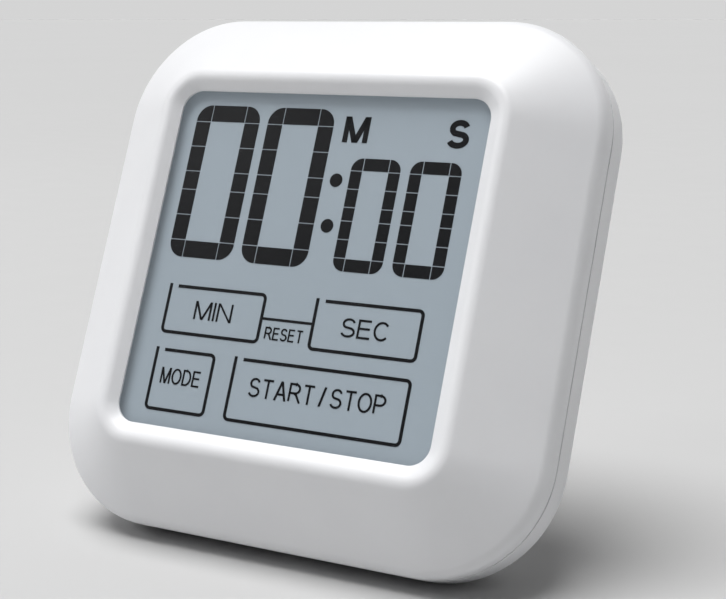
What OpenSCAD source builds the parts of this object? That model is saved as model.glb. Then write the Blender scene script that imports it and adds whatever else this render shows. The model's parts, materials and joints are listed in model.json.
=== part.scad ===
// Touch-panel kitchen timer, standing on its folding leg.
//
// Every piece is drawn in the timer's own frame: X to the right, Y up the face, Z out of the
// face towards the user, with Z = 0 at the edge of the display window. A "depth" is a distance
// behind that plane, so depth d is at Z = -d. stand_up() then leans the whole timer back onto its
// bottom edge and its leg, with the origin on the table, under the middle of the whole outline.

/* [Body] */
// Width and height of the case
body_w = 86; // [80:1:104]
// Depth from the window edge to the flat back
body_d = 21.5; // [21.5:0.5:28]
// Width and height of the display window
window_w = 55; // [52:1:58]
// Corner radius of the window
window_r = 3.3; // [2.5:0.1:5]
// Wall of both shells
wall = 2; // [1.6:0.1:2.4]
// Distance from the window edge to the rim's crest, before rounding
crest_in = 2.55; // [2:0.05:3.5]
// Height of the rim's crest above the window edge, before rounding
crest_h = 1.55; // [1:0.05:2]
// Radius that rounds the rim's crest
crest_r = 2.2; // [1:0.1:2.4]
// Depth where the sloping face meets the side
ridge_d = 6.9; // [5:0.1:7.4]
// Radius that rounds that edge
ridge_r = 2.8; // [1:0.1:3]
// Depth of the seam between the two shells
seam_d = 10.3; // [10:0.1:11]
// Open gap of the seam
seam_gap = 0.2; // [0.1:0.05:0.3]
// Depth where the side turns in towards the back
taper_d = 14.6; // [13:0.1:16]
// Radius of the edge round the back
back_edge_r = 1.5; // [0.5:0.1:2]
// Draft of the side
draft = 1; // [0:0.5:2]

/* [Stance] */
// How far the face leans back, which is also the taper of the back's edge
lean = 23; // [18:1:26]
// Angle of the leg from the back when it is open
leg_open = 38; // [34:1:42]

/* [Display] */
// Thickness of the lip over the glass
lip = 0.3; // [0.3:0.05:0.6]
// Adhesive gasket under the lip
gasket_t = 0.1; // [0.1:0.02:0.3]
// Cover glass
lens_t = 0.4; // [0.3:0.05:1]
// Touch sensor film
film_t = 0.1; // [0.06:0.02:0.2]
// Each glass of the display
glass_t = 0.35; // [0.3:0.05:0.7]
// Layer that holds the segments
segment_t = 0.06; // [0.04:0.01:0.1]
// Rear reflector film
reflector_t = 0.2; // [0.1:0.05:0.3]
// How far the glasses reach past the window
glass_margin = 1.85; // [1.5:0.05:1.9]

/* [Digits] */
// Minute digit: width, height and stroke
minute_digit = [12.1, 25.6, 2.82];
// Second digit: width, height and stroke
second_digit = [8.5, 17.9, 2.04];
// Gap between segments
segment_gap = 0.16; // [0.1:0.02:0.3]
// Radius of a colon dot
dot_r = 1.09; // [0.8:0.01:1.4]

/* [Touch keys] */
// Width of the key outlines
key_line = 0.52; // [0.3:0.02:0.6]
// Corner radius of the key outlines
key_r = 1; // [0.6:0.1:1.5]

/* [Circuit board] */
// Thickness of the board
board_t = 1.2; // [0.8:0.1:1.6]
// Gap between the board and the battery bay
board_gap = 0.25; // [0.15:0.05:0.5]

/* [Battery] */
// Diameter of an AAA cell
cell_d = 10.5; // [10:0.1:10.6]
// Length of an AAA cell with its nub
cell_l = 44.5; // [43:0.1:44.6]
// Distance between the two cells' axes
cell_pitch = 11.4; // [11:0.1:12]
// Thickness of the battery door
door_t = 1.3; // [1:0.1:1.6]
// Wall of the battery compartment
bay_wall = 1.8; // [1.6:0.1:2]

/* [Leg] */
// Width of the leg
leg_w = 30; // [24:1:32]
// Thickness of the leg
leg_t = 2.6; // [2:0.1:2.8]
// Height of the leg's hinge above the middle of the face
hinge_y = 3; // [1:0.5:3]
// Radius of the hinge pins
pin_r = 1.1; // [0.9:0.05:1.2]
// Length of each hinge pin
pin_l = 1.6; // [1.2:0.1:2]
// Radius of the hole that hangs the timer on a hook
hang_r = 2.5; // [2:0.1:3]

/* [Magnets] */
// Radius of a magnet
magnet_r = 6; // [5:0.5:6.5]
// Thickness of a magnet
magnet_t = 2; // [1.5:0.1:2.5]

/* [Buzzer and switch] */
// Radius of the buzzer's brass disc
buzzer_r = 7.5; // [6.5:0.1:7.5]
// Travel of the sound switch
switch_travel = 4; // [3:0.5:4]

/* [Screws] */
// Distance of the case screws from the middle of the face
screw_at = 32; // [31:0.5:32.5]
// Radius of a case screw's head
screw_head_r = 2.4; // [2:0.1:2.4]
// Radius of a case screw's shank
screw_r = 1; // [0.8:0.05:1.2]

/* [Hidden] */
$fn = 64;
eps = 0.01;
fit = 0.1;        // clearance of pieces that slide together
bond = 0.05;      // layer of clear glue between the touch film and the display
run = 0.05;       // radial clearance of the hinge pins
arc_steps = 7;    // straight steps that stand for one rounded edge of a shell

// The window's corners, the shells' corners and all between turn about the same four points.
corner = window_w / 2 - window_r;
side_r = body_w / 2 - corner;
slope = atan2(crest_h + ridge_d, ridge_x() - window_r - crest_in);
back_wall = 1.8;
back_r = side_r - (body_d - taper_d) * tan(lean);
inner_side_r = side_r - (taper_d - seam_d) * tan(draft) - wall;
ledge_r = ridge_x() - (ridge_d - lip + wall / cos(slope)) / tan(slope);
tongue_t = 0.9;
tongue_h = 1.2;

// The stack behind the window, as depths.
lens_d = lip + gasket_t;
film_d = lens_d + lens_t;
front_glass_d = film_d + film_t + bond;
segment_d = front_glass_d + glass_t;
rear_glass_d = segment_d + segment_t;
reflector_d = rear_glass_d + glass_t;
reflector_back_d = reflector_d + reflector_t;
lens_w = 2 * (corner + ledge_r - fit);
glass_w = window_w + 2 * glass_margin;
glass_step = 1;          // the rear glass stops this far short, where the front glass has its contacts
rear_glass_r = glass_w / 2 - corner - glass_step;
film_w = lens_w - 0.6;      // the sensor film stops 0.3 short of the glass on each side
zebra = [52, 0.9];       // length and thickness of a zebra strip
zebra_y = (glass_w - glass_step) / 2;
seat_gap = 0.15;         // room round the glass in its holder
glass_seat = 2;          // how far the holder reaches behind the glasses, at the sides and at the ends
rear_seat = 1.2;
holder_wall = 0.5;
holder_w = glass_w + 2 * (seat_gap + holder_wall);
post_at = [holder_w / 2 + 3.6, 12];
post_r = 2;

// The battery bay opens through the back, above the leg.
door_d = body_d - door_t;
cell_top_gap = 0.3;       // between the cells and the door
cell_floor_gap = 0.15;    // between the cells and the floor of the bay
cell_axis_d = door_d - cell_top_gap - cell_d / 2;
bay_floor_d = cell_axis_d - cell_d / 2 - cell_floor_gap;
bay_floor_t = 0.8;
board_back_d = bay_floor_d - bay_floor_t - board_gap;
board_d = board_back_d - board_t;
post_end = max(seam_d, board_d);
bay_w = cell_l + 6.9;
bay_h = cell_pitch + cell_d + 0.5;
bay_y = 20.9;
ledge = bay_wall - 0.2;   // how far the door overlaps the bay's walls
door_size = [bay_w + 2 * ledge, bay_h + 2 * ledge];
door_hinge = [bay_y - door_size[1] / 2 + door_t / 2, body_d - door_t / 2];
contact_t = 0.4;
contact_w = 8.6;
contact_rise = 4.4;       // the plates reach this far behind the cells' axes
tab_l = 4;                // solder tab: length, width and thickness
tab_w = 2.6;
tab_t = 0.4;
contact_x = bay_w / 2 - 0.1 - contact_t;
bump_r = 2.4;
bump_h = 0.8;
nub = [1.9, 0.9];         // radius and length of a cell's positive nub
cell_tip_x = contact_x - bump_h;
cell_end_x = cell_l - cell_tip_x;
seat = 0.02;              // a wire end stands this far clear of what it rests on
spring_l = contact_x - cell_end_x - 2 * seat;

// The leg turns on pins in a recess below the bay.
hinge_d = body_d - 1.7;
barrel_r = leg_t / 2 + 0.1;
heel_l = 2.2;
recess_d = hinge_d - barrel_r - 0.1;
recess_w = leg_w + 2 * 0.4;
recess_top = hinge_y + heel_l + 0.4;
well_d = hinge_d - norm([heel_l, leg_t / 2]) - 0.1;
recess_wall = 1.2;
socket_wall = pin_l + 1.4;
// Depth of the floor plane below the hinge, measured square to the table.
rest_d = (taper_d + recess_d) / 2;
rest_y = -(corner + side_r - (rest_d - taper_d) * tan(lean));
hinge_height = (hinge_y - rest_y) * cos(lean) - (hinge_d - rest_d) * sin(lean);
leg_l = (hinge_height - leg_t / 2) / cos(leg_open - lean);
leg_corner = 4;
hang_at = leg_l - 9;

// Pieces beside the leg.
magnet_at = [recess_w / 2 + recess_wall + magnet_r + 4.3, -6];
magnet_wall = 1;          // material under a magnet, and round it
magnet_rim = 1.2;
buzzer_at = [-(recess_w / 2 + recess_wall + buzzer_r + 2.8), -21.3];
buzzer_seat_d = body_d - 4;
buzzer_t = 0.3;
ceramic_t = 0.2;
knob = [3.6, 3, 1];       // size of the switch's thumb pad
knob_at = [27, -24];
grip_h = 0.25;
dish = [switch_travel + knob[0] + 2.4, 6.4, 1.4];
slot_w = 2.2;             // width of the slot under the thumb pad
stem = [2, slot_w - 2 * fit];
switch_size = [8.6, 3.8, 3.4];

// Case screws, from the back into the front shell's bosses.
boss_r = 3;
head_seat_d = 15;
head_t = 1.6;
screw_tip_d = 4.6;
board_screw = [1.5, 0.7, 1];  // head radius, shank radius, head height

// Radius of the sharp edge between the slope and the side, before rounding.
function ridge_x() = side_r - (taper_d - ridge_d) * tan(draft);

// ---- Outlines: points [r, z], where r is the distance from the line of corner centres ----

// The arc that rounds the corner at b, on the way from a to c.
function rounded_corner(a, b, c, r) =
    let (
        u = (a - b) / norm(a - b),
        v = (c - b) / norm(c - b),
        half = acos(u * v) / 2,
        centre = b + (u + v) / norm(u + v) * r / sin(half),
        from = b + u * r / tan(half) - centre,
        to = b + v * r / tan(half) - centre,
        start = atan2(from[1], from[0]),
        turn = (atan2(to[1], to[0]) - start + 540) % 360 - 180
    )
    [for (i = [0:arc_steps]) let (a = start + turn * i / arc_steps) centre + r * [cos(a), sin(a)]];

// The outside of the front shell, from the window's edge to the seam.
function front_outside() = let (
    edge = [window_r, 0],
    crest = [window_r + crest_in, crest_h],
    ridge = [ridge_x(), -ridge_d],
    seam = [side_r - (taper_d - seam_d) * tan(draft), -seam_d + seam_gap]
) concat([[window_r, -lip], edge], rounded_corner(edge, crest, ridge, crest_r),
    rounded_corner(crest, ridge, seam, ridge_r), [seam]);

// Its inside, from the seam back to the window's edge, with a step for the rear shell's tongue.
function front_inside() = [
    [inner_side_r + tongue_t + fit, -seam_d + seam_gap],
    [inner_side_r + tongue_t + fit, -seam_d + tongue_h + seam_gap + fit],
    [inner_side_r, -seam_d + tongue_h + seam_gap + fit],
    [inner_side_r, -ridge_d + wall * tan(slope) - wall / cos(slope)],
    [ledge_r, -lip]
];

// The outside of the rear shell, from the seam to the flat back.
function rear_outside() = let (
    seam = [side_r - (taper_d - seam_d) * tan(draft), -seam_d],
    turn_in = [side_r, -taper_d],
    edge = [back_r, -body_d]
) concat([[0, -seam_d], seam], rounded_corner(seam, turn_in, edge, 2),
    rounded_corner(turn_in, edge, [0, -body_d], back_edge_r), [[0, -body_d]]);

// The space inside the rear shell.
function rear_inside() = [
    [0, -seam_d + 1], [inner_side_r, -seam_d + 1], [inner_side_r, -taper_d],
    [inner_side_r - (body_d - back_wall - taper_d) * tan(lean), -body_d + back_wall],
    [0, -body_d + back_wall]
];

// Carries an outline round the four sides and corners. A filled one is closed over the middle.
module round_case(outline, filled = false) {
    for (k = [0:3]) rotate(90 * k) {
        translate([corner, corner, 0]) rotate([90, 0, 0]) linear_extrude(2 * corner) polygon(outline);
        translate([corner, corner, 0]) rotate_extrude(angle = 90) polygon(outline);
    }
    if (filled) {
        low = min([for (p = outline) p[1]]);
        high = outline[0][1];
        translate([-corner, -corner, low]) cube([2 * corner, 2 * corner, high - low]);
    }
}

// ---- Small helpers ----

// How far forward and back the leaning case reaches: the rim's crest at the bottom, and the
// edge of the back at the top.
front_y = min([for (p = front_outside()) -(corner + p[0]) * sin(lean) - p[1] * cos(lean)]);
back_y = max([for (p = rear_outside()) (corner + p[0]) * sin(lean) - p[1] * cos(lean)]);
floor_z = rest_y * cos(lean) - rest_d * sin(lean);

module stand_up() translate([0, -(front_y + back_y) / 2, -floor_z]) rotate([90 - lean, 0, 0]) children();

// A block by its middle in X and Y, and its two depths.
module slab(at, size, front, back) translate([at[0] - size[0] / 2, at[1] - size[1] / 2, -back])
    cube([size[0], size[1], back - front]);

module disc(at, r, front, back) translate([at[0], at[1], -back]) cylinder(r = r, h = back - front);

module rounded_square(w, h, r) {
    square([w - 2 * r, h], center = true);
    square([w, h - 2 * r], center = true);
    for (x = [-1, 1], y = [-1, 1]) translate([x * (w / 2 - r), y * (h / 2 - r)]) circle(r);
}

module sheet(w, h, r, front, back) translate([0, 0, -back]) linear_extrude(back - front)
    rounded_square(w, h, r);

// A square sheet whose corners turn about the same points as the window's.
module pane(w, front, back) sheet(w, w, w / 2 - corner, front, back);

// A wire through a list of points, a trifle thicker at its bends.
bend_d = 0.04;
module wire(points, d) {
    for (i = [0:len(points) - 2]) {
        run_of = points[i + 1] - points[i];
        translate(points[i]) rotate([0, acos(run_of[2] / norm(run_of)), atan2(run_of[1], run_of[0])])
            cylinder(d = d, h = norm(run_of), $fn = 16);
    }
    for (i = [1:len(points) - 2]) translate(points[i]) sphere(d = d + bend_d, $fn = 16);
}

// A coil along +X from the origin, whose radius goes from r0 to r1.
module coil(r0, r1, length, turns, d) {
    sides = 6;
    rings = 16 * turns;
    centre = [for (i = [0:rings]) let (t = i / rings, a = 360 * turns * t, r = r0 + (r1 - r0) * t)
        [d / 2 + (length - d) * t, r * cos(a), r * sin(a)]];
    points = [for (i = [0:rings], k = [0:sides - 1]) let (a = 360 * turns * i / rings, b = 360 * k / sides)
        centre[i] + d / 2 * [cos(b), sin(b) * cos(a), sin(b) * sin(a)]];
    skin = [for (i = [0:rings - 1], k = [0:sides - 1]) let (n = (k + 1) % sides)
        [i * sides + k, i * sides + n, (i + 1) * sides + n, (i + 1) * sides + k]];
    ends = [[for (k = [sides - 1:-1:0]) k], [for (k = [0:sides - 1]) rings * sides + k]];
    polyhedron(points, concat(skin, ends));
}

module at_corners() for (x = [-1, 1], y = [-1, 1]) translate([x * screw_at, y * screw_at, 0]) children();

module at_posts() for (x = [-1, 1], y = [-1, 1]) translate([x * post_at[0], y * post_at[1], 0]) children();

// ---- Shells ----

module front_shell() color("white") difference() {
    side_in = ridge_x() - wall / 2;
    union() {
        round_case(concat(front_outside(), front_inside()));
        intersection() {
            union() {
                at_corners() disc([0, 0], boss_r, lip, seam_d);
                at_posts() disc([0, 0], post_r, lip, board_d);
            }
            // What lies behind the middle of the wall's thickness.
            round_case([[0, -lip - wall / 2], [ledge_r, -lip + wall / 4], [side_in, -ridge_d - wall / 2],
                [side_in, -post_end], [0, -post_end]], true);
        }
    }
    at_corners() disc([0, 0], screw_r + run, screw_tip_d - 0.4, seam_d + eps);
    at_posts() disc([0, 0], board_screw[1] + run, board_d - 2.6, board_d + eps);
    // Room for the display's holder and the ribbon, where the wall is thick.
    pane(holder_w + 2 * fit, film_d + film_t, board_d);
    notch_end = ribbon_y - ribbon_t - fit;
    slab([0, (film_edge + notch_end) / 2], [ribbon_w + 1, film_edge - notch_end], film_d - bond, board_back_d + 1);
}

module rear_shell() color("white") difference() {
    union() {
        difference() {
            round_case(rear_outside(), true);
            round_case(rear_inside(), true);
        }
        round_case([[inner_side_r, -taper_d], [inner_side_r, -seam_d + tongue_h],
            [inner_side_r + tongue_t, -seam_d + tongue_h], [inner_side_r + tongue_t, -taper_d]]);
        at_corners() disc([0, 0], boss_r, seam_d, body_d - back_wall + eps);
        bay_block();
        recess_block();
        for (side = [-1, 1])
            disc([side * magnet_at[0], magnet_at[1]], magnet_r + magnet_rim,
                body_d - magnet_t - magnet_wall, body_d - 1);
        disc(buzzer_at, buzzer_r + 1.1, buzzer_seat_d - 1, body_d - 1);
        slab(knob_at, [dish[0] + 2, dish[1] + 2], body_d - dish[2] - 1, body_d - 1);
    }
    bay_hollow();
    recess_hollow();
    at_corners() {
        disc([0, 0], screw_r + 0.3, seam_d - eps, body_d);
        disc([0, 0], screw_head_r + 0.3, head_seat_d, body_d + eps);
    }
    for (side = [-1, 1])
        disc([side * magnet_at[0], magnet_at[1]], magnet_r + fit, body_d - magnet_t, body_d + eps);
    disc(buzzer_at, buzzer_r + fit, buzzer_seat_d - 1 - eps, buzzer_seat_d);
    disc(buzzer_at, buzzer_r - 1, buzzer_seat_d - eps, body_d - back_wall);
    sound_holes();
    slab(knob_at, [dish[0], dish[1]], body_d - dish[2], body_d + eps);
    slab(knob_at, [switch_travel + stem[0] + 2 * fit, slot_w], body_d - dish[2] - 1 - eps, body_d);
}

module sound_holes() {
    ring = [for (k = [0:5]) 3 * [cos(60 * k), sin(60 * k)]];
    for (at = concat([[0, 0]], ring)) disc(buzzer_at + at, 0.9, body_d - back_wall - eps, body_d + eps);
}

module bay_block() slab([0, bay_y], [bay_w + 2 * bay_wall + 0.4, bay_h + 2 * bay_wall + 0.4],
    bay_floor_d - bay_floor_t, body_d - 1);

module bay_hollow() {
    slab([0, bay_y], [bay_w, bay_h], bay_floor_d, body_d + eps);
    slab([0, bay_y], door_size + [0.4, 0.4], door_d - 0.05, body_d + eps);
    // Room for the door's two hooks to turn under the edge.
    for (x = [-1, 1]) slab([x * (bay_w / 2 - 4), door_hinge[0] - 0.3], [5, 4.4], door_d - 3.4, door_d);
    // Slots for the contacts' solder tabs.
    for (y = [-1, 1])
        slab([bay_w / 2 + 1, bay_y + y * cell_pitch / 2], [4, tab_w + 0.6], tab_d() - tab_t, tab_d() + tab_t);
}

function tab_d() = bay_floor_d + 1.6;

module recess_block() {
    top = recess_top + recess_wall;
    bottom = -corner - side_r;
    intersection() {
        union() {
            slab([0, (top + bottom) / 2], [recess_w + 2 * recess_wall, top - bottom],
                recess_d - recess_wall, body_d - 1);
            slab([0, hinge_y + heel_l / 2 - 0.4], [recess_w + 2 * socket_wall, 2 * recess_wall + heel_l + 4],
                well_d - recess_wall, body_d - 1);
        }
        round_case(rear_outside(), true);
    }
}

module recess_hollow() {
    bottom = -corner - side_r - 1;
    difference() {
        union() {
            slab([0, (recess_top + bottom) / 2], [recess_w, recess_top - bottom], recess_d, body_d + eps);
            slab([0, (recess_top + hinge_y - 3) / 2], [recess_w, recess_top - hinge_y + 3], well_d, body_d);
        }
        heel_stops();
    }
    translate([0, hinge_y, -hinge_d]) rotate([0, 90, 0])
        cylinder(r = pin_r + run, h = recess_w + 2 * (pin_l + 0.1), center = true);
}

// Two wedges that the leg's heel comes to rest on when the leg is open.
module heel_stops() for (x = [-1, 1]) translate([x * leg_w / 4, hinge_y, -hinge_d]) rotate([leg_open, 0, 0])
    translate([-2, 0.4, leg_t / 2 + 0.05]) cube([4, heel_l + 3, 3]);

// ---- Display ----

module cover_glass() color([0.75, 0.8, 0.84, 0.4]) pane(lens_w, lens_d, film_d);

module lens_gasket() color("dimgray") difference() {
    pane(lens_w - 0.2, lip, lens_d);
    pane(window_w + 0.4, lip - eps, lens_d + eps);
}

module touch_film() color([0.8, 0.85, 0.85, 0.5]) pane(film_w, film_d, film_d + film_t);

ribbon_w = 8;
ribbon_t = 0.15;
ribbon_y = -(holder_w / 2 + ribbon_t);
film_edge = -film_w / 2;
connector_y = -25.5;

// The film's tail, over the holder's edge and round to the back of the board.
module touch_ribbon() color("darkorange") {
    tail_d = board_back_d + 0.3;
    slab([0, (film_edge + ribbon_y) / 2], [ribbon_w, film_edge - ribbon_y], film_d, film_d + ribbon_t);
    slab([0, ribbon_y - ribbon_t / 2], [ribbon_w, ribbon_t], film_d, tail_d);
    slab([0, (ribbon_y - ribbon_t + connector_y) / 2], [ribbon_w, connector_y - ribbon_y + ribbon_t],
        tail_d, tail_d + ribbon_t);
}

module lcd_front_glass() color([0.62, 0.68, 0.71, 0.6]) pane(glass_w, front_glass_d, segment_d);

module lcd_rear_glass() color([0.62, 0.68, 0.71, 0.6])
    sheet(glass_w, glass_w - 2 * glass_step, rear_glass_r, rear_glass_d, reflector_d);

module lcd_reflector() color([0.6, 0.66, 0.7])
    sheet(glass_w - 0.4, glass_w - 2 * glass_step - 0.4, rear_glass_r, reflector_d, reflector_back_d);

// A nought in one size, cut into its cells. The origin is its bottom left corner.
module nought(size) {
    w = size[0];
    h = size[1];
    stroke = size[2];
    cell = (h - 2 * stroke) / 5;
    short = cell * 0.78;          // the middle cell of each side is shorter than its neighbours
    long = (h - 2 * stroke - short) / 4;
    cuts = [for (k = [0:5]) stroke + (k < 3 ? k * long : (k - 1) * long + short)];
    translate([0, 0, -rear_glass_d]) linear_extrude(segment_t) difference() {
        translate([w / 2, h / 2]) rounded_square(w, h, stroke * 0.92);
        translate([stroke, stroke]) square([w - 2 * stroke, h - 2 * stroke]);
        for (y = cuts) translate([-1, y - segment_gap / 2]) square([w + 2, segment_gap]);
        for (x = [stroke, w - stroke]) translate([x - segment_gap / 2, -1]) square([segment_gap, h + 2]);
    }
}

digit_base = -0.1;
minute_x = [-25.2, -11.5];
second_x = [5.2, 15.35];

module minute_tens_digit() color("black") translate([minute_x[0], digit_base, 0]) nought(minute_digit);

module minute_units_digit() color("black") translate([minute_x[1], digit_base, 0]) nought(minute_digit);

module second_tens_digit() color("black") translate([second_x[0], digit_base, 0]) nought(second_digit);

module second_units_digit() color("black") translate([second_x[1], digit_base, 0]) nought(second_digit);

module colon_dots() color("black") for (y = [6.8, 14.1]) disc([2.95, y], dot_r, segment_d, rear_glass_d);

// One key's outline, open at its top left corner: [left, right, bottom, top] at the line's middle.
module key_outline(at) {
    w = at[1] - at[0];
    h = at[3] - at[2];
    opening = 1.4;
    difference() {
        translate([at[0] + w / 2, at[2] + h / 2]) difference() {
            rounded_square(w + key_line, h + key_line, key_r);
            rounded_square(w - key_line, h - key_line, key_r - key_line);
        }
        translate([at[0] - key_line, at[3] - key_line - key_r])
            square([opening + key_line, key_r + 2 * key_line]);
    }
    translate([at[0] - key_line / 2, at[3] - 2 * key_r]) square([key_line, 2 * key_r + 0.35]);
}

// Left, right, bottom and top of the four keys: minutes, seconds, mode, start and stop.
keys = [[-23.2, -5.3, -12.4, -4.9], [3.95, 21.9, -12.4, -4.9],
    [-23.2, -12.3, -24.8, -15.3], [-8.35, 21.9, -24.8, -15.3]];
reset_y = -8.6;  // the line that joins the minute and second keys

module key_outlines() color("black") translate([0, 0, -rear_glass_d]) linear_extrude(segment_t) {
    for (at = keys) key_outline(at);
    translate([keys[0][1], reset_y - key_line * 0.4]) square([keys[1][0] - keys[0][1], key_line * 0.8]);
}

// The frame that holds the two glasses against the gasket, and the zebra strips against the board.
module lcd_holder() color("whitesmoke") difference() {
    pane(holder_w, film_d + film_t + bond, board_d);
    pane(glass_w + 2 * seat_gap, film_d, reflector_back_d + bond);
    slab([0, 0], [glass_w - 2 * glass_seat, glass_w - 2 * glass_step - 2 * rear_seat], film_d, board_d + eps);
    for (y = [-1, 1]) slab([0, y * zebra_y], [zebra[0] + 0.4, zebra[1] + 0.2], film_d, board_d + eps);
}

module zebra_strip(side) color("darkslategray") slab([0, side * zebra_y], zebra, segment_d, board_d);

module zebra_strip_upper() zebra_strip(1);

module zebra_strip_lower() zebra_strip(-1);

// ---- Electronics ----

module main_board() color("seagreen") difference() {
    union() {
        slab([0, 0], [holder_w + 2, holder_w + 2], board_d, board_back_d);
        slab([0, 0], [2 * (post_at[0] + 2.4), 2 * (post_at[1] + 4)], board_d, board_back_d);
    }
    at_corners() disc([0, 0], boss_r + 0.5, board_d - eps, board_back_d + eps);
    at_posts() disc([0, 0], board_screw[1] + 0.2, board_d - eps, board_back_d + eps);
    slab([0, ribbon_y - 2], [ribbon_w + 1, 4.4], board_d - eps, board_back_d + eps);
}

// A low dome of epoxy: the cap of a ball.
module controller_blob() color([0.08, 0.08, 0.09]) translate([-9, -8, -board_back_d]) intersection() {
    ball_r = 10;
    blob_h = 2;
    blob_r = sqrt(ball_r * ball_r - pow(ball_r - blob_h, 2));
    translate([0, 0, ball_r - blob_h]) sphere(r = ball_r);
    translate([0, 0, -blob_h]) cylinder(r = blob_r, h = blob_h);
}

// An eight-pin chip that reads the touch film.
module touch_chip() color([0.1, 0.1, 0.11]) {
    at = [9, -17];
    pin_pitch = 1.27;
    slab(at, [5, 4], board_back_d + 0.15, board_back_d + 1.5);
    for (k = [-1.5:1.5], side = [-1, 1])
        slab(at + [k * pin_pitch, side * 2.4], [0.4, 0.8], board_back_d, board_back_d + 0.5);
}

// The crystal's can lies on the board.
module crystal() color("silver") translate([6, -3, -board_back_d - 1.05]) rotate([0, 90, 0])
    cylinder(r = 1, h = 6);

// Five resistors, four capacitors and a tall round one.
module board_parts() color("tan") {
    for (k = [0:4]) slab([-18 + 3.4 * k, 2.5], [2, 1.25], board_back_d, board_back_d + 0.6);
    for (k = [0:3]) slab([16, -2 - 3 * k], [1.25, 2], board_back_d, board_back_d + 0.8);
    disc([-14, -19], 2, board_back_d, board_back_d + 5.4);
}

module ribbon_connector() color("ivory") slab([0, connector_y + 1.7], [ribbon_w + 3, 3.4],
    board_back_d, board_back_d + 1.4);

// The slide switch's metal case.
module switch_body() color("silver") slab(knob_at, [switch_size[0], switch_size[1]],
    board_back_d, board_back_d + switch_size[2]);

// Thumb pad with three grips, and its stem, drawn at the left end of the travel.
module switch_knob() color([0.16, 0.17, 0.18]) {
    at = knob_at - [switch_travel / 2, 0];
    top = body_d - dish[2] + 0.05;
    lever_d = board_back_d + switch_size[2] + 0.1;
    slab(at, [knob[0], knob[1]], top, top + knob[2]);
    for (k = [-1:1]) slab(at + [k, 0], [0.4, knob[1]], top + knob[2] - eps, top + knob[2] + grip_h);
    slab(at, stem, lever_d, top + eps);
}

module buzzer_plate() color("gold") disc(buzzer_at, buzzer_r, buzzer_seat_d - buzzer_t, buzzer_seat_d);

module buzzer_ceramic() color("whitesmoke") disc(buzzer_at, buzzer_r - 2,
    buzzer_seat_d - buzzer_t - ceramic_t, buzzer_seat_d - buzzer_t);

lead_d = 0.9;

module buzzer_leads() color("firebrick") {
    plate_z = -buzzer_seat_d + buzzer_t + lead_d / 2 + seat;
    for (side = [-1, 1]) {
        from = side > 0 ? [buzzer_at[0] + 6.3, buzzer_at[1] + 1, plate_z]
            : [buzzer_at[0] + 1.5, buzzer_at[1] + 2, plate_z + ceramic_t];
        pad = [buzzer_at[0] + 5 + side, buzzer_at[1] + 7, -board_back_d - seat];
        wire([from, from + [0, 0, 3], [pad[0], pad[1], pad[2] - 2.5], pad], lead_d);
    }
}

// ---- Battery ----

// A cell along +X from its flat end.
module cell() rotate([0, 90, 0]) {
    cylinder(d = cell_d - 0.2, h = cell_l - nub[1]);
    translate([0, 0, 0.6]) cylinder(d = cell_d, h = cell_l - nub[1] - 1.4);
    cylinder(r = nub[0], h = cell_l);
}

module battery_upper() color("darkslategray") translate([-cell_end_x, bay_y + cell_pitch / 2, -cell_axis_d])
    cell();

module battery_lower() color("darkslategray") translate([cell_end_x, bay_y - cell_pitch / 2, -cell_axis_d])
    mirror([1, 0, 0]) cell();

// A contact plate beside the right wall, with a solder tab through it.
module contact_plate(y) {
    slab([contact_x + contact_t / 2, y], [contact_t, contact_w],
        bay_floor_d + fit, cell_axis_d + contact_rise);
    slab([contact_x + tab_l / 2, y], [tab_l, tab_w], tab_d() - tab_t / 2, tab_d() + tab_t / 2);
}

module contact_bump(x, y) translate([x, y, -cell_axis_d]) rotate([0, 90, 0])
    cylinder(r = bump_r, h = bump_h + eps);

module positive_contact() color("silver") {
    contact_plate(bay_y + cell_pitch / 2);
    contact_bump(contact_x - bump_h, bay_y + cell_pitch / 2);
}

module negative_contact() color("silver") contact_plate(bay_y - cell_pitch / 2);

module battery_spring() coil(r0 = 3.6, r1 = 2.2, length = spring_l, turns = 3.5, d = 0.6);

module negative_spring() color("silver") translate([contact_x - seat, bay_y - cell_pitch / 2, -cell_axis_d])
    mirror([1, 0, 0]) battery_spring();

// The plate on the left wall joins one cell's end to the next cell's nub.
module bridge_contact() color("silver") {
    slab([-contact_x - contact_t / 2, bay_y], [contact_t, cell_pitch + contact_w],
        bay_floor_d + fit, cell_axis_d + contact_rise);
    contact_bump(-contact_x - eps, bay_y - cell_pitch / 2);
}

module bridge_spring() color("silver") translate([-contact_x + seat, bay_y + cell_pitch / 2, -cell_axis_d])
    battery_spring();

module battery_leads() color("firebrick") for (side = [-1, 1]) {
    past = side > 0 ? 1.3 : 0;   // the upper lead passes outside the lower one
    tab = [contact_x + tab_l - 0.5, bay_y + side * cell_pitch / 2, -tab_d() - tab_t / 2 - seat - lead_d / 2];
    pad = [contact_x + tab_l + 0.2 + past, 10 + side, -board_back_d - seat];
    wire([tab, tab + [1.4 + past, -1, 0], [pad[0], pad[1], pad[2] - 1.4], pad], lead_d);
}

latch_l = 2.2;
scoop_r = 4.1;
scoop_h = 0.7;

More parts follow.
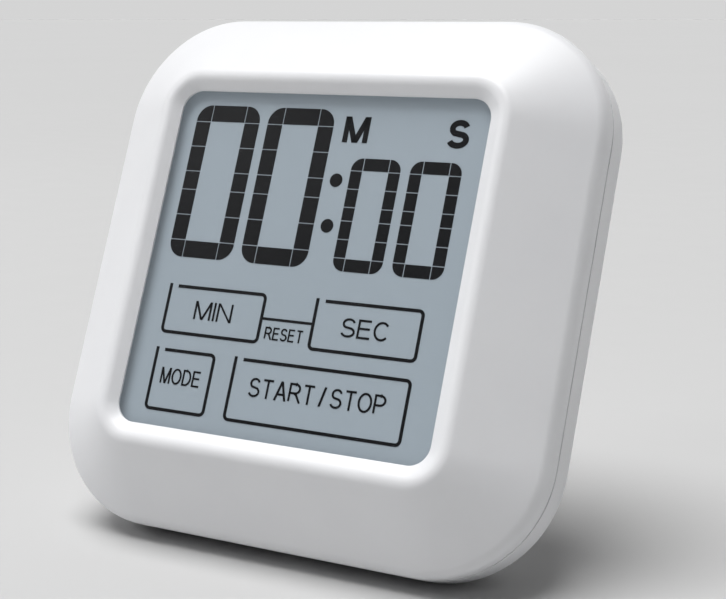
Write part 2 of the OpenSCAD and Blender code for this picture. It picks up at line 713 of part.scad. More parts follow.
module battery_door() color("white") {
    y0 = bay_y - door_size[1] / 2;
    difference() {
        union() {
            slab([0, bay_y + door_t / 4], [door_size[0], door_size[1] - door_t / 2], door_d, body_d);
            translate([0, door_hinge[0], -door_hinge[1]]) rotate([0, 90, 0])
                cylinder(d = door_t, h = door_size[0], center = true);
        }
        // A scoop to press the latch, and the slots that let the latch bend.
        for (x = [-1, 1]) slab([x * 5, y0 + door_size[1] - 2.5], [0.8, 5.01], door_d - eps, body_d + eps);
        translate([0, y0 + door_size[1] - 3.4, -body_d - scoop_r + scoop_h]) rotate([0, 90, 0])
            cylinder(r = scoop_r, h = 7, center = true);
    }
    // The latch's tongue.
    slab([0, y0 + door_size[1] - ledge - 0.8], [8, 1], door_d - latch_l, door_d + eps);
    // Hooks that keep the lower edge in.
    for (x = [-1, 1]) {
        slab([x * (bay_w / 2 - 4), door_hinge[0] + 0.35], [4, 0.9], door_d - 1.7, door_d + eps);
        slab([x * (bay_w / 2 - 4), door_hinge[0] - 0.5], [4, 2.6], door_d - 1.7, door_d - 0.9);
    }
}

// ---- Leg, magnets and screws ----

// The leg as it lies folded: hinge on the X axis, free end towards -Y.
module folded_leg() difference() {
    straight = leg_l - leg_corner;    // from the hinge to where the corners of the free end begin
    end_w = leg_w - 2 * leg_corner;
    union() {
        translate([-leg_w / 2, -straight, -leg_t / 2]) cube([leg_w, straight + heel_l, leg_t]);
        translate([-end_w / 2, -leg_l, -leg_t / 2]) cube([end_w, leg_corner + eps, leg_t]);
        for (x = [-1, 1])
            translate([x * end_w / 2, -straight, -leg_t / 2]) cylinder(r = leg_corner, h = leg_t);
        translate([0, -leg_l, 0]) rotate([0, 90, 0]) cylinder(d = leg_t, h = end_w, center = true);
        rotate([0, 90, 0]) cylinder(r = barrel_r, h = leg_w, center = true);
        rotate([0, 90, 0]) cylinder(r = pin_r, h = leg_w + 2 * (pin_l + 0.3), center = true);
    }
    translate([0, -hang_at, -leg_t]) cylinder(r = hang_r, h = 2 * leg_t);
    // A shallow panel that lightens the leg.
    translate([-leg_w / 2 + 4, -hang_at + hang_r + 4, -leg_t / 2 - eps])
        cube([leg_w - 8, hang_at - hang_r - 8, 0.6]);
}

module leg() color("white") translate([0, hinge_y, -hinge_d]) rotate([leg_open, 0, 0]) folded_leg();

module magnet(side) color("dimgray") disc([side * magnet_at[0], magnet_at[1]], magnet_r,
    body_d - magnet_t, body_d);

module magnet_left() magnet(-1);

module magnet_right() magnet(1);

module cross_slot(w, deep) for (a = [0, 90]) rotate(a) translate([-w / 2, -0.25, -eps]) cube([w, 0.5, deep]);

module case_screws() color("silver") at_corners() difference() {
    union() {
        disc([0, 0], screw_r, screw_tip_d, head_seat_d);
        disc([0, 0], screw_head_r, head_seat_d, head_seat_d + head_t);
    }
    translate([0, 0, -head_seat_d - head_t]) cross_slot(2.6, 0.9);
}

module board_screws() color("silver") at_posts() difference() {
    union() {
        disc([0, 0], board_screw[1], board_d - 2.2, board_back_d);
        disc([0, 0], board_screw[0], board_back_d, board_back_d + board_screw[2]);
    }
    translate([0, 0, -board_back_d - board_screw[2]]) cross_slot(1.8, 0.6);
}

stand_up() {
    front_shell();
    rear_shell();
    cover_glass();
    lens_gasket();
    touch_film();
    touch_ribbon();
    lcd_front_glass();
    lcd_rear_glass();
    lcd_reflector();
    minute_tens_digit();
    minute_units_digit();
    second_tens_digit();
    second_units_digit();
    colon_dots();
    key_outlines();
    lcd_holder();
    zebra_strip_upper();
    zebra_strip_lower();
    main_board();
    controller_blob();
    touch_chip();
    crystal();
    board_parts();
    ribbon_connector();
    switch_body();
    switch_knob();
    buzzer_plate();
    buzzer_ceramic();
    buzzer_leads();
    battery_upper();
    battery_lower();
    positive_contact();
    negative_contact();
    negative_spring();
    bridge_contact();
    bridge_spring();
    battery_leads();
    battery_door();
    leg();
    magnet_left();
    magnet_right();
    case_screws();
    board_screws();
}
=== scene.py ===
"""A touch-panel kitchen timer, leaning back on its open leg.

Shapes are drawn in the timer's own frame, in millimetres: X to the right, Y up the face and Z out
of the face, with Z = 0 at the edge of the display window. STAND carries them to the world.
"""
import json
import math

import bmesh
import bpy
from mathutils import Matrix, Vector


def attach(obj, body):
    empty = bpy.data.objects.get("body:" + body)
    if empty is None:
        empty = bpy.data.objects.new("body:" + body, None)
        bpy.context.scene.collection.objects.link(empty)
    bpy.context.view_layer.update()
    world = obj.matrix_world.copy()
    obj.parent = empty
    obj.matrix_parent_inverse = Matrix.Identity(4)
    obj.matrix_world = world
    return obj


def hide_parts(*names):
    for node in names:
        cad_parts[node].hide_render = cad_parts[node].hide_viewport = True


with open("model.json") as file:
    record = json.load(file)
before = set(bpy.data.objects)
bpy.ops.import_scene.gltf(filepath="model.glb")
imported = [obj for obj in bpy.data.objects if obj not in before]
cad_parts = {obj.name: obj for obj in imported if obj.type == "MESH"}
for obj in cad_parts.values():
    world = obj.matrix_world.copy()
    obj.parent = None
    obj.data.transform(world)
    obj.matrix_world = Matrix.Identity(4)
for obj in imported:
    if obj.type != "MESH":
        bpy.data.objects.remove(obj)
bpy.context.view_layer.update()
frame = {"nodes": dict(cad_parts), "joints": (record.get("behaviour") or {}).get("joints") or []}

# ---- Driving sizes, in millimetres and degrees, as the CAD model has them ----

LEAN = math.radians(23)
LEG_HINGE = Vector((0, 3, -19.8))
BODY_W = 86
WINDOW_W = 55
WINDOW_R = 3.3
LIP = 0.3
WALL = 2
CREST_IN, CREST_H, CREST_R = 2.55, 1.55, 2.2
RIDGE_D, RIDGE_R = 6.9, 2.8
SEAM_D, SEAM_GAP = 10.3, 0.2
TAPER_D = 14.6
DRAFT = math.radians(1)
CORNER = WINDOW_W / 2 - WINDOW_R      # every corner of the case turns about (+-CORNER, +-CORNER)
SIDE_R = BODY_W / 2 - CORNER
LENS_D = 0.4                          # front of the cover glass, and of the touch film, as depths
FILM_D = 0.8
GLASS_MARGIN = 1.85                   # how far the display's glass reaches past the window
INK_Z = -1.3                          # front of the display's segments
NUB_R, NUB_L = 1.9, 0.9               # radius and length of a cell's positive nub
CELL_R = 5.15                         # radius of a cell under its sleeve

# ---- Sizes of the visual model alone ----

WINDOW_EDGE_R, SEAM_EDGE_R = 0.12, 0.2    # rounding of the window's rim and of the seam
TONGUE_W, TONGUE_D = 1, 1.5               # step in the front shell's edge behind the seam
PANE_GAP = 0.1                            # from the clear laminate to the shell around it
PANE_STEP, PANE_STEP_D = 0.3, 0.12        # the laminate's step behind the touch film
WORD_RISE, WORD_SINK = 0.005, 0.05        # words lie this far out of the ink layer, and into it
CELL_PROUD = 0.03                         # a cell's bare ends stand this far off the sleeve's mesh

MM = Matrix.Scale(0.001, 4)
TURN = Matrix.Rotation(math.pi / 2 - LEAN, 4, "X")
joints = {j["name"]: j for j in frame["joints"]}
hinge_at = Vector(joints["leg_hinge"]["pos_m"])
STAND = Matrix.Translation(hinge_at - TURN @ (LEG_HINGE * 0.001)) @ TURN @ MM


# ---- Meshes ----

def piece(name, bm, body, material, replaces=()):
    """A finished piece from a bmesh drawn in the timer's frame."""
    bmesh.ops.recalc_face_normals(bm, faces=bm.faces)
    mesh = bpy.data.meshes.new(name)
    bm.to_mesh(mesh)
    bm.free()
    mesh.transform(STAND)
    mesh.shade_smooth()
    mesh.set_sharp_from_angle(angle=math.radians(35))
    return dress(name, mesh, body, material, replaces)


def dress(name, mesh, body, material, replaces=()):
    """An object for a mesh that is in place, with its material and body."""
    obj = bpy.data.objects.new(name, mesh)
    bpy.context.scene.collection.objects.link(obj)
    obj.data.materials.clear()
    obj.data.materials.append(material)
    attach(obj, body)
    if replaces:
        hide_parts(*replaces)
    return obj


def rounded(points, steps):
    """A line through points (r, z) or (r, z, radius), where a radius rounds that point."""
    line = []
    for i, point in enumerate(points):
        at = Vector(point[:2])
        if len(point) < 3:
            line.append(at)
            continue
        back = (Vector(points[i - 1][:2]) - at).normalized()
        on = (Vector(points[i + 1][:2]) - at).normalized()
        half = back.angle(on) / 2
        radius = point[2]
        centre = at + (back + on).normalized() * radius / math.sin(half)
        first = at + back * radius / math.tan(half) - centre
        last = at + on * radius / math.tan(half) - centre
        turn = first.angle_signed(last)
        for k in range(steps + 1):
            angle = -turn * k / steps
            line.append(centre + Matrix.Rotation(angle, 2) @ first)
    return line


def case_loop(bm, r, z, steps=20):
    """One ring of vertices round the case, at a distance r from the corners' centres."""
    ring = []
    for k in range(4):
        cx, cy = [(1, 1), (-1, 1), (-1, -1), (1, -1)][k]
        for i in range(steps + 1):
            a = math.radians(90 * (k + i / steps))
            ring.append(bm.verts.new((cx * CORNER + r * math.cos(a), cy * CORNER + r * math.sin(a), z)))
    return ring


def skin(bm, one, other):
    """Quads between two rings of the same length."""
    for i in range(len(one)):
        j = (i + 1) % len(one)
        bm.faces.new((one[i], one[j], other[j], other[i]))


def swept(line, closed):
    """The case's outline carried round the four sides and corners."""
    bm = bmesh.new()
    rings = [case_loop(bm, p[0], p[1]) for p in line]
    for a, b in zip(rings, rings[1:]):
        skin(bm, a, b)
    if closed:
        skin(bm, rings[-1], rings[0])
    else:
        bm.faces.new(rings[0])
        bm.faces.new(rings[-1])
    return bm


# ---- Materials ----

def nodes_of(name):
    """A new material, its node tree and its Principled shader."""
    material = bpy.data.materials.new(name)
    material.use_nodes = True
    tree = material.node_tree
    shader = tree.nodes["Principled BSDF"]
    return material, tree, shader


def add(tree, kind, **values):
    """One node, with its settings and inputs given by name."""
    node = tree.nodes.new(kind)
    for key, value in values.items():
        if hasattr(node, key):
            setattr(node, key, value)
        else:
            node.inputs[key.replace("_", " ")].default_value = value
    return node


def noise(tree, scale, detail=3.0, roughness=0.5):
    """3D noise over the object, whose features are about 1 / scale metres wide."""
    where = add(tree, "ShaderNodeTexCoord")
    node = add(tree, "ShaderNodeTexNoise", Scale=scale, Detail=detail, Roughness=roughness)
    tree.links.new(where.outputs["Object"], node.inputs["Vector"])
    return node.outputs["Fac"]


def spread(tree, factor, low, high):
    """The factor, from its usual 0.3 to 0.7, carried to low to high."""
    node = add(tree, "ShaderNodeMapRange")
    node.inputs["From Min"].default_value = 0.3
    node.inputs["From Max"].default_value = 0.7
    node.inputs["To Min"].default_value = low
    node.inputs["To Max"].default_value = high
    tree.links.new(factor, node.inputs["Value"])
    return node.outputs["Result"]


def between(tree, factor, one, other):
    """A colour that goes from one to the other with the factor."""
    node = add(tree, "ShaderNodeValToRGB")
    node.color_ramp.elements[0].position = 0.3
    node.color_ramp.elements[0].color = (*one, 1)
    node.color_ramp.elements[1].position = 0.7
    node.color_ramp.elements[1].color = (*other, 1)
    tree.links.new(factor, node.inputs["Fac"])
    return node.outputs["Color"]


def bump(tree, shader, factor, strength, depth):
    """Fine relief from a factor, depth metres deep."""
    node = add(tree, "ShaderNodeBump", Strength=strength, Distance=depth)
    tree.links.new(factor, node.inputs["Height"])
    tree.links.new(node.outputs["Normal"], shader.inputs["Normal"])


def moulded(name, colour, other, rough=(0.4, 0.5), grain=6000, depth=0.00002, strength=0.25, metal=0.0,
            patch=90, shine=0.5):
    """Moulded plastic and most other plain stuff: two close tones, a fine grain and uneven gloss."""
    material, tree, shader = nodes_of(name)
    cloud = noise(tree, patch)
    tree.links.new(between(tree, cloud, colour, other), shader.inputs["Base Color"])
    fine = noise(tree, grain, 2.0)
    tree.links.new(spread(tree, fine, *rough), shader.inputs["Roughness"])
    bump(tree, shader, fine, strength, depth)
    shader.inputs["Metallic"].default_value = metal
    shader.inputs["Specular IOR Level"].default_value = shine
    return material


def clear_panel(name, tint, opacity, rough):
    """A clear sheet with a satin front: most of what is behind it shows through."""
    material, tree, shader = nodes_of(name)
    cloud = noise(tree, 60)
    tree.links.new(between(tree, cloud, tint, [c * 0.96 for c in tint]), shader.inputs["Base Color"])
    fine = noise(tree, 9000, 2.0)
    tree.links.new(spread(tree, fine, rough * 0.9, rough * 1.1), shader.inputs["Roughness"])
    bump(tree, shader, fine, 0.1, 0.000005)
    shader.inputs["Alpha"].default_value = opacity
    shader.inputs["Specular IOR Level"].default_value = 0.36
    return material


def painted_glow(material, colour, strength):
    """A faint painted glow on a part that is no lamp, which lifts it out of the shade around it."""
    shader = material.node_tree.nodes["Principled BSDF"]
    shader.inputs["Emission Color"].default_value = (*colour, 1)
    shader.inputs["Emission Strength"].default_value = strength


def striped_rubber(name):
    """Zebra strip: thin conductive layers across its length."""
    material, tree, shader = nodes_of(name)
    where = add(tree, "ShaderNodeTexCoord")
    wave = add(tree, "ShaderNodeTexWave", Scale=1200.0, Distortion=0.3)
    tree.links.new(where.outputs["Object"], wave.inputs["Vector"])
    tree.links.new(between(tree, wave.outputs["Fac"], (0.01, 0.01, 0.012), (0.16, 0.17, 0.18)),
                   shader.inputs["Base Color"])
    tree.links.new(spread(tree, noise(tree, 3000), 0.7, 0.85), shader.inputs["Roughness"])
    return material


WHITE = moulded("white_abs", (0.80, 0.805, 0.825), (0.82, 0.825, 0.842), rough=(0.34, 0.44))
COVER = clear_panel("clear_cover_panel", (0.05, 0.058, 0.06), 0.04, 0.3)
LCD_GREY_PAINTED_GLOW = moulded("display_grey_painted_glow", (0.268, 0.316, 0.356), (0.275, 0.323, 0.364), rough=(0.5, 0.6), grain=9000,
                   depth=0.000005, strength=0.1, patch=40, shine=0.2)
# The display is no lamp: its glow is painted light, which lifts its grey out of the shade under the window's
# lip.
painted_glow(LCD_GREY_PAINTED_GLOW, (0.40, 0.457, 0.51), 0.268)
INK = moulded("display_segments", (0.005, 0.005, 0.0065), (0.008, 0.008, 0.0095), rough=(0.35, 0.45),
              grain=9000, depth=0.000005, strength=0.1, shine=0.1)
FOAM = moulded("black_foam", (0.012, 0.012, 0.013), (0.02, 0.02, 0.021), rough=(0.85, 0.95), grain=2500,
               depth=0.0001, strength=0.6)
AMBER = moulded("polyimide_ribbon", (0.42, 0.17, 0.02), (0.5, 0.22, 0.03), rough=(0.25, 0.35), patch=300)
HOLDER = moulded("holder_plastic", (0.74, 0.74, 0.72), (0.78, 0.78, 0.76), rough=(0.45, 0.55))
BOARD = moulded("solder_mask", (0.006, 0.10, 0.035), (0.01, 0.14, 0.05), rough=(0.25, 0.4), grain=2500,
                patch=700)
EPOXY = moulded("black_epoxy", (0.01, 0.01, 0.011), (0.018, 0.018, 0.019), rough=(0.3, 0.45), grain=1500,
                depth=0.0001)
STEEL = moulded("nickel_plate", (0.55, 0.54, 0.51), (0.66, 0.65, 0.61), rough=(0.22, 0.36), grain=2500,
                metal=1.0, patch=500, strength=0.12)
SCREW = moulded("zinc_plate", (0.50, 0.52, 0.54), (0.60, 0.61, 0.62), rough=(0.25, 0.4), grain=2500,
                metal=1.0, patch=500, strength=0.15)
TAN = moulded("small_part_ceramic", (0.36, 0.24, 0.12), (0.46, 0.33, 0.19), rough=(0.4, 0.6), patch=700)
IVORY = moulded("connector_plastic", (0.68, 0.62, 0.47), (0.74, 0.68, 0.54), rough=(0.4, 0.5))
CHARCOAL = moulded("charcoal_plastic", (0.022, 0.024, 0.027), (0.032, 0.034, 0.037), rough=(0.45, 0.6))
BRASS = moulded("brass_disc", (0.62, 0.42, 0.14), (0.72, 0.5, 0.2), rough=(0.25, 0.4), metal=1.0, patch=500)
PIEZO = moulded("piezo_ceramic", (0.7, 0.69, 0.65), (0.76, 0.75, 0.71), rough=(0.4, 0.6), patch=600)
LEAD = moulded("lead_insulation", (0.4, 0.02, 0.015), (0.48, 0.03, 0.02), rough=(0.35, 0.45), patch=500)
ZEBRA = striped_rubber("zebra_rubber")
SLEEVE = moulded("cell_sleeve", (0.05, 0.12, 0.105), (0.06, 0.14, 0.12), rough=(0.2, 0.3), patch=150)
MAGNET = moulded("nickel_magnet", (0.56, 0.55, 0.53), (0.60, 0.59, 0.565), rough=(0.2, 0.28), metal=1.0,
                 patch=200, grain=4000, strength=0.06, depth=0.000008)
FLOOR = moulded("pale_floor", (0.515, 0.515, 0.515), (0.525, 0.525, 0.525), rough=(0.75, 0.85), grain=60,
                depth=0.0005, patch=2, strength=0.03)

# ---- Front shell ----

ridge_x = SIDE_R - (TAPER_D - RIDGE_D) * math.tan(DRAFT)
seam_x = SIDE_R - (TAPER_D - SEAM_D) * math.tan(DRAFT)
edge_d = SEAM_D - SEAM_GAP
slope = math.atan2(CREST_H + RIDGE_D, ridge_x - WINDOW_R - CREST_IN)
inner_x = seam_x - WALL
inner_d = RIDGE_D - WALL * math.tan(slope) + WALL / math.cos(slope)
ledge_x = ridge_x - (RIDGE_D - LIP + WALL / math.cos(slope)) / math.tan(slope)

front_line = rounded([
    (WINDOW_R + 0.02, -LIP),
    (WINDOW_R, 0, WINDOW_EDGE_R),
    (WINDOW_R + CREST_IN, CREST_H, CREST_R),
    (ridge_x, -RIDGE_D, RIDGE_R),
    (seam_x, -edge_d, SEAM_EDGE_R),
    (inner_x + TONGUE_W, -edge_d),
    (inner_x + TONGUE_W, -SEAM_D + TONGUE_D),
    (inner_x, -SEAM_D + TONGUE_D),
    (inner_x, -inner_d),
    (ledge_x, -LIP),
], steps=14)
piece("front_frame", swept(front_line, closed=True), "case", WHITE, ["front_shell"])

# ---- Clear stack of the display: cover glass, touch film and front glass, bonded into one ----

pane_x = ledge_x - PANE_GAP
pane_front = -LENS_D - 0.01
step_z = -FILM_D - PANE_STEP_D
pane_line = [Vector((ledge_x - 0.3, pane_front))] + rounded([
    (pane_x, pane_front, 0.08),
    (pane_x, -FILM_D),
    (pane_x - PANE_STEP, -FILM_D),
    (pane_x - PANE_STEP, step_z),
    (WINDOW_R + GLASS_MARGIN, step_z),
    (WINDOW_R + GLASS_MARGIN, INK_Z),
], steps=3)
piece("clear_laminate", swept(pane_line, closed=False), "case", COVER,
      ["cover_glass", "touch_film", "lcd_front_glass"])


# ---- CAD shapes with their edges softened ----

def softened(node, body, material, width):
    """A copy of a CAD node, its sharp edges rounded to a width in mm, which takes the node's place."""
    mesh = frame["nodes"][node].data.copy()
    bm = bmesh.new()
    bm.from_mesh(mesh)
    bmesh.ops.remove_doubles(bm, verts=bm.verts, dist=2e-6)
    bmesh.ops.dissolve_limit(bm, angle_limit=math.radians(1), verts=bm.verts, edges=bm.edges)
    bm.to_mesh(mesh)
    bm.free()
    rough = bpy.data.objects.new(node + "_soft", mesh)
    bpy.context.scene.collection.objects.link(rough)
    cut = rough.modifiers.new("edges", "BEVEL")
    cut.width = width * 0.001
    cut.segments = 2
    cut.limit_method = "ANGLE"
    cut.angle_limit = math.radians(38)
    cut.use_clamp_overlap = True
    rough.modifiers.new("shade", "WEIGHTED_NORMAL").keep_sharp = True
    rough.data.shade_smooth()
    bpy.context.view_layer.update()
    final = bpy.data.meshes.new_from_object(rough.evaluated_get(bpy.context.evaluated_depsgraph_get()))
    bpy.data.objects.remove(rough)
    dress(node + "_soft", final, body, material, [node])


softened("rear_shell", "case", WHITE, 0.25)
softened("battery_door", "door", WHITE, 0.2)
softened("leg", "leg", WHITE, 0.4)
softened("switch_knob", "knob", CHARCOAL, 0.15)
for name in ("magnet_left", "magnet_right"):
    softened(name, "case", MAGNET, 0.3)
for name in ("case_screws", "board_screws"):
    softened(name, "case", SCREW, 0.12)
softened("lcd_holder", "case", HOLDER, 0.15)
for name in ("positive_contact", "negative_contact", "bridge_contact", "switch_body"):
    softened(name, "case", STEEL, 0.12)
for name in ("battery_upper", "battery_lower"):
    softened(name, "case", SLEEVE, 0.25)


def cell_end(name, cell, way, nub):
    """The bare steel at one end of a cell: way is 1 for its right end, -1 for its left."""
    source = frame["nodes"][cell]
    points = [STAND.inverted() @ source.matrix_world @ v.co for v in source.data.vertices]
    # the cell's axis lies in the middle of its box
    cy, cz = [(max(p[k] for p in points) + min(p[k] for p in points)) / 2 for k in (1, 2)]
    tip = max(p.x * way for p in points)
    end = tip - NUB_L if nub else tip
    face = end + CELL_PROUD
    groove = [(4.2, face), (4.5, end - 0.3), (4.8, face)]
    rim = [(CELL_R + 0.02, face, 0.15), (CELL_R + 0.02, end - 0.7)]
    post = [(NUB_R + CELL_PROUD, tip + 0.02, 0.3), (NUB_R + CELL_PROUD, face)] if nub else []
    line = rounded([(0.01, tip + 0.02)] + post + groove + rim, steps=5)
    bm = bmesh.new()
    rings = [[bm.verts.new((way * x, cy + r * math.cos(a), cz + r * math.sin(a)))
              for a in (math.tau * k / 48 for k in range(48))] for r, x in line]
    for a, b in zip(rings, rings[1:]):
        skin(bm, a, b)
    bm.faces.new(rings[0])
    bm.faces.new(rings[-1])
    piece(name, bm, "case", STEEL)


cell_end("upper_cell_nub_end", "battery_upper", 1, nub=True)
cell_end("upper_cell_flat_end", "battery_upper", -1, nub=False)
cell_end("lower_cell_nub_end", "battery_lower", -1, nub=True)
cell_end("lower_cell_flat_end", "battery_lower", 1, nub=False)

# ---- Everything that keeps its CAD shape takes its material here ----

FINISH = {
    # The display's rear glass and reflector wear its grey with a painted glow, which stands in for light
    # under the lip.
    "lens_gasket": FOAM, "touch_ribbon": AMBER, "lcd_rear_glass": LCD_GREY_PAINTED_GLOW, "lcd_reflector": LCD_GREY_PAINTED_GLOW,
    "minute_tens_digit": INK, "minute_units_digit": INK, "second_tens_digit": INK, "second_units_digit": INK,
    "colon_dots": INK, "key_outlines": INK,
    "zebra_strip_upper": ZEBRA, "zebra_strip_lower": ZEBRA,
    "main_board": BOARD, "controller_blob": EPOXY, "touch_chip": EPOXY, "crystal": STEEL, "board_parts": TAN,
    "ribbon_connector": IVORY,
    "buzzer_plate": BRASS, "buzzer_ceramic": PIEZO, "buzzer_leads": LEAD, "battery_leads": LEAD,
    "negative_spring": STEEL, "bridge_spring": STEEL,
}
for name, material in FINISH.items():
    obj = frame["nodes"][name]
    obj.data.materials.clear()
    obj.data.materials.append(material)

# ---- Words of the display ----

def arc(cx, cy, rx, ry, start, end, steps=10):
    """Points on an ellipse, from start to end in degrees."""
    return [(cx + rx * math.cos(math.radians(start + (end - start) * i / steps)),
             cy + ry * math.sin(math.radians(start + (end - start) * i / steps))) for i in range(steps + 1)]


# Each letter is its width in a box 1 high, its even strokes along their middles, and its slanted
# strokes, each by where it lies at the bottom and at the top: 0 is at the left edge, 1 at the right.
STEMS = [[(0, 0), (0, 1)], [(1, 0), (1, 1)]]
LETTERS = {
    "A": (0.86, [[(0.2, 0.3), (0.8, 0.3)]], [(0, 0.5), (1, 0.5)]),
    "C": (0.84, [arc(0.52, 0.5, 0.52, 0.5, 42, 318, 22)], []),
    "D": (0.80, [[(0, 0), (0, 1), (0.36, 1)] + arc(0.36, 0.5, 0.64, 0.5, 90, -90, 16) + [(0, 0)]], []),
    "E": (0.76, [[(0.97, 1), (0, 1), (0, 0), (1, 0)], [(0, 0.53), (0.92, 0.53)]], []),
    "I": (0.0, [[(0, 0), (0, 1)]], []),
    "M": (0.94, STEMS, [(0.5, 0), (0.5, 1)]),
    "N": (0.82, STEMS, [(1, 0)]),
    "O": (0.94, [arc(0.5, 0.5, 0.5, 0.5, 90, 450, 32)], []),
    "P": (0.76, [[(0, 0), (0, 1), (0.5, 1)] + arc(0.5, 0.73, 0.5, 0.27, 90, -90, 12) + [(0, 0.46)]], []),
    "R": (0.84, [[(0, 0), (0, 1), (0.5, 1)] + arc(0.5, 0.74, 0.42, 0.26, 90, -90, 12) + [(0, 0.48)],
                 [(0.42, 0.48), (0.66, 0.38), (1.02, 0)]], []),
    "S": (0.78, [arc(0.5, 0.745, 0.44, 0.255, 18, 232, 16) + arc(0.49, 0.255, 0.5, 0.255, 58, -162, 16)], []),
    "T": (0.80, [[(0, 1), (1, 1)], [(0.5, 1), (0.5, 0)]], []),
    "/": (0.34, [], [(0, 1)]),
}


def ribbon(bm, line, half, front, back):
    """A flat stroke, twice half wide, along a line. Corners are mitred, upright ends run on by half."""
    closed = (Vector(line[0]) - Vector(line[-1])).length < 1e-6
    points = [Vector(p) for p in (line[:-1] if closed else line)]
    if not closed:
        for end, next_in in ((0, 1), (-1, -2)):
            out = (points[end] - points[next_in]).normalized()
            if abs(out.y) > 0.8 and len(points) < 8:        # upright, and not the end of an arc
                points[end] += out * half
    rings = []
    for i, at in enumerate(points):
        ways = []
        if i or closed:
            ways.append((at - points[i - 1]).normalized())
        if i < len(points) - 1 or closed:
            ways.append((points[(i + 1) % len(points)] - at).normalized())
        way = sum(ways, Vector((0, 0))).normalized()
        side = Vector((-way.y, way.x))
        reach = half / max(0.5, side.dot(Vector((-ways[0].y, ways[0].x))))
        rings.append([bm.verts.new((*(at + side * s * reach), z)) for s, z in
                      ((1, front), (-1, front), (-1, back), (1, back))])
    for a, b in zip(rings, rings[1:] + rings[:1] if closed else rings[1:]):
        for k in range(4):
            bm.faces.new((a[k], a[(k + 1) % 4], b[(k + 1) % 4], b[k]))
    if not closed:
        bm.faces.new(rings[0])
        bm.faces.new(rings[-1])


def slanted(bm, low, high, bottom, top, wide, front, back):
    """A slanted stroke with level ends, from x = low at the bottom to x = high at the top."""
    ends = [[bm.verts.new((x + w, y, z)) for w, z in ((0, front), (wide, front), (wide, back), (0, back))]
            for x, y in ((low, bottom), (high, top))]
    for k in range(4):
        bm.faces.new((ends[0][k], ends[0][(k + 1) % 4], ends[1][(k + 1) % 4], ends[1][k]))
    bm.faces.new(ends[0])
    bm.faces.new(ends[1])


def word(name, text, left, right, bottom, top, stroke=0.34, gap=0.13, space=0.26):
    """A word that fills the box it is given, on the display's ink layer."""
    letters = [c for c in text if c != " "]
    wide = sum(LETTERS[c][0] for c in letters) + space * text.count(" ") + gap * (len(letters) - 1)
    across = (right - left - stroke * len(letters)) / wide
    up = top - bottom - stroke
    front, back = INK_Z + WORD_RISE, INK_Z - WORD_SINK
    bm = bmesh.new()
    x = left
    for c in text:
        if c == " ":
            x += space * across
            continue
        width, strokes, slants = LETTERS[c]
        width *= across
        for line in strokes:
            ribbon(bm, [(x + stroke / 2 + px * width, bottom + stroke / 2 + py * up) for px, py in line],
                   stroke / 2, front, back)
        heavy = stroke * 1.12
        for low, high in slants:
            reach = width + stroke - heavy
            slanted(bm, x + low * reach, x + high * reach, bottom, top, heavy, front, back)
        x += width + stroke + gap * across
    return piece(name, bm, "case", INK)


word("minutes_letter", "M", 2.6, 7.0, 20.25, 24.45, stroke=0.88)
word("seconds_letter", "S", 20.4, 24.0, 20.05, 24.55, stroke=0.92)
word("minute_key_word", "MIN", -17.8, -10.75, -9.95, -7.0)
word("second_key_word", "SEC", 8.85, 16.95, -10.05, -7.1)
word("reset_word", "RESET", -4.2, 2.65, -11.8, -9.8, stroke=0.26)
word("mode_key_word", "MODE", -21.55, -14.0, -20.65, -18.1, stroke=0.3)
word("start_stop_key_word", "START / STOP", -5.0, 18.6, -20.85, -17.85)

# ---- Floor, lights and camera ----

SKY_TOP = 0.05                        # strength of the surround overhead
SKY_BACK = 0.66                       # low, behind the timer
SKY_LEFT, SKY_FRONT, SKY_RIGHT = 0.41, 0.05, 0.065
CAMERA_AT = (116.31, -40.56, 190.39)  # in the timer's frame, as is the point that it looks at
CAMERA_TO = (12.30, -4.31, 0)
CAMERA_LENS = 73.65


def floor():
    """A wide pale disc, whose edge is out of sight."""
    bm = bmesh.new()
    bmesh.ops.create_circle(bm, cap_ends=True, segments=128, radius=60)
    mesh = bpy.data.meshes.new("floor")
    bm.to_mesh(mesh)
    bm.free()
    obj = bpy.data.objects.new("floor", mesh)
    obj.data.materials.append(FLOOR)
    bpy.context.scene.collection.objects.link(obj)


def maths(tree, operation, *values):
    """One Math node, fed by numbers and sockets."""
    node = add(tree, "ShaderNodeMath")
    node.operation = operation
    for socket, value in zip(node.inputs, values):
        if isinstance(value, (int, float)):
            socket.default_value = value
        else:
            tree.links.new(value, socket)
    return node.outputs["Value"]


def ease(tree, value, low, high, start, end):
    """The value's course from low to high, eased, as start to end."""
    node = add(tree, "ShaderNodeMapRange")
    node.interpolation_type = "SMOOTHSTEP"
    for key, number in (("From Min", low), ("From Max", high), ("To Min", start), ("To Max", end)):
        node.inputs[key].default_value = number
    tree.links.new(value, node.inputs["Value"])
    return node.outputs["Result"]


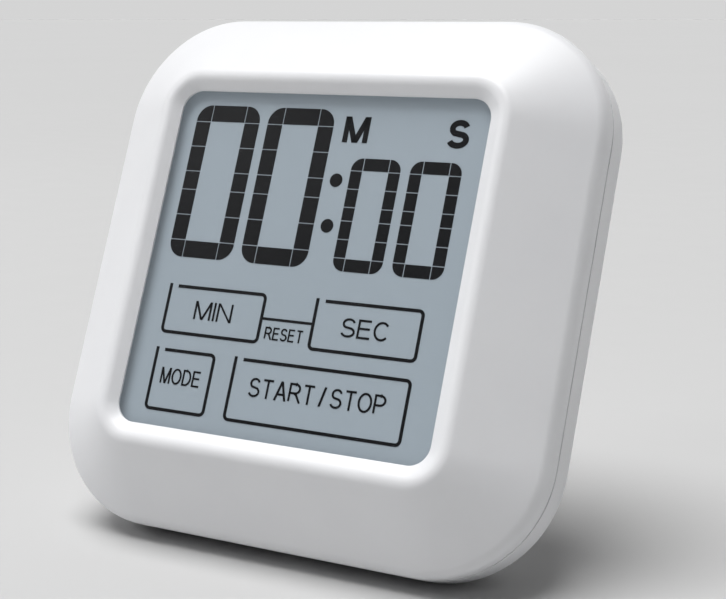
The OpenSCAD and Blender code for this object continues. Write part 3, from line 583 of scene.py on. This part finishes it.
def sky():
    """A studio surround: bright low behind the timer, weaker on the left, dim in front and overhead."""
    world = bpy.data.worlds.new("studio")
    bpy.context.scene.world = world
    world.use_nodes = True
    tree = world.node_tree
    where = add(tree, "ShaderNodeTexCoord")
    split = add(tree, "ShaderNodeSeparateXYZ")
    tree.links.new(where.outputs["Generated"], split.inputs["Vector"])
    x, y, z = split.outputs
    behind = ease(tree, y, -0.2, 0.6, 0, 1)
    side = maths(tree, "ADD", ease(tree, x, -1.0, -0.1, SKY_LEFT, SKY_FRONT),
                 ease(tree, x, 0.1, 1.0, 0, SKY_RIGHT - SKY_FRONT))
    low = maths(tree, "ADD", maths(tree, "MULTIPLY", behind, SKY_BACK),
                maths(tree, "MULTIPLY", maths(tree, "SUBTRACT", 1, behind), side))
    rise = ease(tree, z, 0.14, 1.15, 0, 1)
    level = maths(tree, "ADD", maths(tree, "MULTIPLY", rise, SKY_TOP),
                  maths(tree, "MULTIPLY", maths(tree, "SUBTRACT", 1, rise), low))
    tree.nodes["Background"].inputs["Color"].default_value = (1, 1, 1, 1)
    tree.links.new(level, tree.nodes["Background"].inputs["Strength"])


def softbox(name, at, towards, size, power):
    """A square light, which fades with distance."""
    light = bpy.data.lights.new(name, "AREA")
    light.shape = "RECTANGLE"
    light.size, light.size_y = size
    light.energy = power
    obj = bpy.data.objects.new(name, light)
    obj.location = at
    obj.rotation_euler = (Vector(towards) - Vector(at)).to_track_quat("-Z", "Y").to_euler()
    bpy.context.scene.collection.objects.link(obj)


def main_light(name, towards, strength, spread_angle):
    """A wide, even light from overhead, which reaches the whole floor alike."""
    light = bpy.data.lights.new(name, "SUN")
    light.energy = strength
    light.angle = math.radians(spread_angle)
    obj = bpy.data.objects.new(name, light)
    obj.rotation_euler = Vector(towards).to_track_quat("Z", "Y").to_euler()
    bpy.context.scene.collection.objects.link(obj)


floor()
sky()
main_light("overhead_light", (-0.165, -0.13, 0.9), 3.45, 42)
softbox("front_box", (-0.6, -0.55, 0.62), (0, 0, 0.04), (0.22, 0.22), 1.0)


def camera():
    """Level, from the right."""
    data = bpy.data.cameras.new("camera")
    data.lens = CAMERA_LENS
    data.sensor_width = 36
    obj = bpy.data.objects.new("camera", data)
    stands = STAND @ Vector(CAMERA_AT)
    looks_at = STAND @ Vector(CAMERA_TO)
    obj.location = stands
    obj.rotation_euler = (looks_at - stands).to_track_quat("-Z", "Y").to_euler()
    data.clip_start = 0.01
    bpy.context.scene.collection.objects.link(obj)
    bpy.context.scene.camera = obj


camera()
bpy.context.scene.view_settings.view_transform = "Standard"
